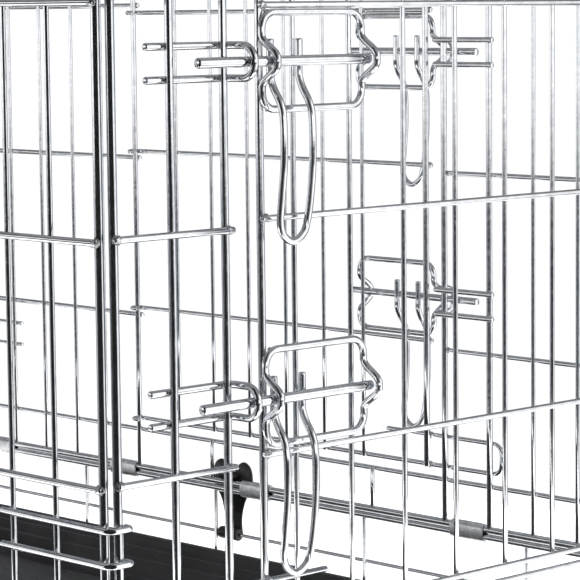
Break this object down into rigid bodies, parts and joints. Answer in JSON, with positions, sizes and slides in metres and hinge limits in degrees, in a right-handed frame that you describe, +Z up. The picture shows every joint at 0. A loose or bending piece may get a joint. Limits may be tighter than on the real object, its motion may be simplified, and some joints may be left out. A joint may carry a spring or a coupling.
{
  "type": "wire rabbit cage",
  "caption": "Folding bright wire cage for rabbits, with a latched door in one end and one long side, a lifting top and a black slide-out tray.",
  "frame": {"origin": "on the floor under the middle of the cage, on the underside of the middle floor wire", "axes": "+Z up, +X towards the end with a door, along the long sides; +Y towards the long side with a door"},
  "size_m": [0.7263, 0.4619, 0.5108],
  "materials": {
    "wire": "bright galvanised, glossy",
    "sheet": "galvanised sheet, satin",
    "plastic": "black, fine matt grain"
  },
  "bodies": {
    "cage_base": {"base_frame": "wire", "side_panel_near": "wire", "side_panel_far": "wire", "side_lower_keeper": "wire", "side_upper_keeper": "wire", "sleeve_near_1": "sheet", "sleeve_near_2": "sheet", "sleeve_near_3": "sheet", "sleeve_near_4": "sheet", "sleeve_near_5": "sheet", "sleeve_far_1": "sheet", "sleeve_far_2": "sheet", "sleeve_far_3": "sheet", "sleeve_far_4": "sheet", "sleeve_far_5": "sheet", "sleeve_front_1": "sheet", "sleeve_front_2": "sheet", "sleeve_rear_1": "sheet", "sleeve_rear_2": "sheet", "sleeve_top_1": "sheet", "sleeve_top_2": "sheet", "sleeve_top_3": "sheet", "sleeve_top_4": "sheet", "hook_front_near_1": "wire", "hook_front_near_2": "wire", "hook_front_near_3": "wire", "hook_front_near_4": "wire", "hook_front_far_1": "wire", "hook_front_far_2": "wire", "hook_front_far_3": "wire", "hook_front_far_4": "wire", "hook_rear_near_1": "wire", "hook_rear_near_2": "wire", "hook_rear_near_3": "wire", "hook_rear_near_4": "wire", "hook_rear_far_1": "wire", "hook_rear_far_2": "wire", "hook_rear_far_3": "wire", "hook_rear_far_4": "wire"},
    "tray": {"tray": "plastic"},
    "clip": {"rail_clip": "plastic"},
    "top": {"top_panel": "wire"},
    "front_end": {"end_panel_front": "wire", "front_lower_keeper": "wire", "front_upper_keeper": "wire"},
    "rear_end": {"end_panel_rear": "wire"},
    "front_door": {"front_door": "wire", "front_lower_bracket": "wire", "front_upper_bracket": "wire"},
    "side_door": {"side_door": "wire", "side_lower_bracket": "wire", "side_upper_bracket": "wire"},
    "front_lower_bolt": {"front_lower_bolt": "wire"},
    "front_lower_handle": {"front_lower_handle": "wire"},
    "front_upper_bolt": {"front_upper_bolt": "wire"},
    "front_upper_handle": {"front_upper_handle": "wire"},
    "side_lower_bolt": {"side_lower_bolt": "wire"},
    "side_lower_handle": {"side_lower_handle": "wire"},
    "side_upper_bolt": {"side_upper_bolt": "wire"},
    "side_upper_handle": {"side_upper_handle": "wire"}
  },
  "joints": [
    {"name": "front_end_fold", "type": "hinge", "parent": "cage_base", "child": "front_end", "pos_m": [0.352, 0, 0.093], "axis": [0, 1, 0], "range_deg": [-90, 0]},
    {"name": "rear_end_fold", "type": "hinge", "parent": "cage_base", "child": "rear_end", "pos_m": [-0.352, 0, 0.0809], "axis": [0, -1, 0], "range_deg": [-90, 0]},
    {"name": "top_lift", "type": "hinge", "parent": "cage_base", "child": "top", "pos_m": [0, 0.2154, 0.507], "axis": [-1, 0, 0], "range_deg": [0, 100]},
    {"name": "front_door_swing", "type": "hinge", "parent": "front_end", "child": "front_door", "pos_m": [0.352, 0.1501, 0.2958], "axis": [0, 0, 1], "range_deg": [0, 115]},
    {"name": "side_door_swing", "type": "hinge", "parent": "cage_base", "child": "side_door", "pos_m": [-0.145, 0.22, 0.2948], "axis": [0, 0, 1], "range_deg": [0, 115]},
    {"name": "front_lower_bolt_slide", "type": "slide", "parent": "front_door", "child": "front_lower_bolt", "axis": [0, 1, 0], "range_m": [0, 0.034]},
    {"name": "front_lower_handle_lift", "type": "hinge", "parent": "front_lower_bolt", "child": "front_lower_handle", "pos_m": [0.3624, -0.1163, 0.21805], "axis": [0, -1, 0], "range_deg": [0, 7]},
    {"name": "front_upper_bolt_slide", "type": "slide", "parent": "front_door", "child": "front_upper_bolt", "axis": [0, 1, 0], "range_m": [0, 0.034]},
    {"name": "front_upper_handle_lift", "type": "hinge", "parent": "front_upper_bolt", "child": "front_upper_handle", "pos_m": [0.3624, -0.1163, 0.3712], "axis": [0, -1, 0], "range_deg": [0, 7]},
    {"name": "side_lower_bolt_slide", "type": "slide", "parent": "side_door", "child": "side_lower_bolt", "axis": [-1, 0, 0], "range_m": [0, 0.027]},
    {"name": "side_lower_handle_lift", "type": "hinge", "parent": "side_lower_bolt", "child": "side_lower_handle", "pos_m": [0.106, 0.2304, 0.217], "axis": [1, 0, 0], "range_deg": [0, 7]},
    {"name": "side_upper_bolt_slide", "type": "slide", "parent": "side_door", "child": "side_upper_bolt", "axis": [-1, 0, 0], "range_m": [0, 0.027]},
    {"name": "side_upper_handle_lift", "type": "hinge", "parent": "side_upper_bolt", "child": "side_upper_handle", "pos_m": [0.106, 0.2304, 0.368], "axis": [1, 0, 0], "range_deg": [0, 7]},
    {"name": "tray_slide", "type": "slide", "parent": "cage_base", "child": "tray", "axis": [1, 0, 0], "range_m": [0, 0.6]},
    {"name": "clip_turn", "type": "hinge", "parent": "cage_base", "child": "clip", "pos_m": [-0.056, 0.2223, 0.0459], "axis": [-1, 0, 0], "range_deg": [0, 120]}
  ]
}
